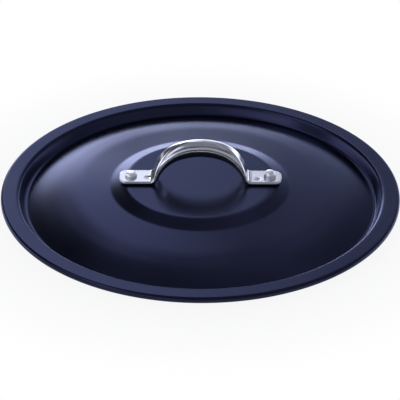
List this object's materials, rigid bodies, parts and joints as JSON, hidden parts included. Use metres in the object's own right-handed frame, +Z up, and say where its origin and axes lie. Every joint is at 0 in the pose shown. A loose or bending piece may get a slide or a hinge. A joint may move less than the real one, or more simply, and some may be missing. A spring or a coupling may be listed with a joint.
{
  "type": "pot lid",
  "caption": "Round pressed-metal pot lid with a flat rim, a skirt groove, a raised centre and an arched tube handle riveted on at both ends.",
  "frame": {"origin": "below the middle of the lid, level with the lowest face of the skirt", "axes": "+Z up through the middle of the lid, +X along the handle, +Y across it"},
  "size_m": [0.26, 0.26, 0.044],
  "materials": {
    "navy_coat": "satin dark blue coat on pressed sheet",
    "stainless": "polished stainless steel tube with fine brushing",
    "rivet_steel": "polished stainless steel rivets"
  },
  "bodies": {
    "root": {"lid_shell": "navy_coat", "handle": "stainless", "rivet_left": "rivet_steel", "rivet_right": "rivet_steel"}
  },
  "joints": []
}
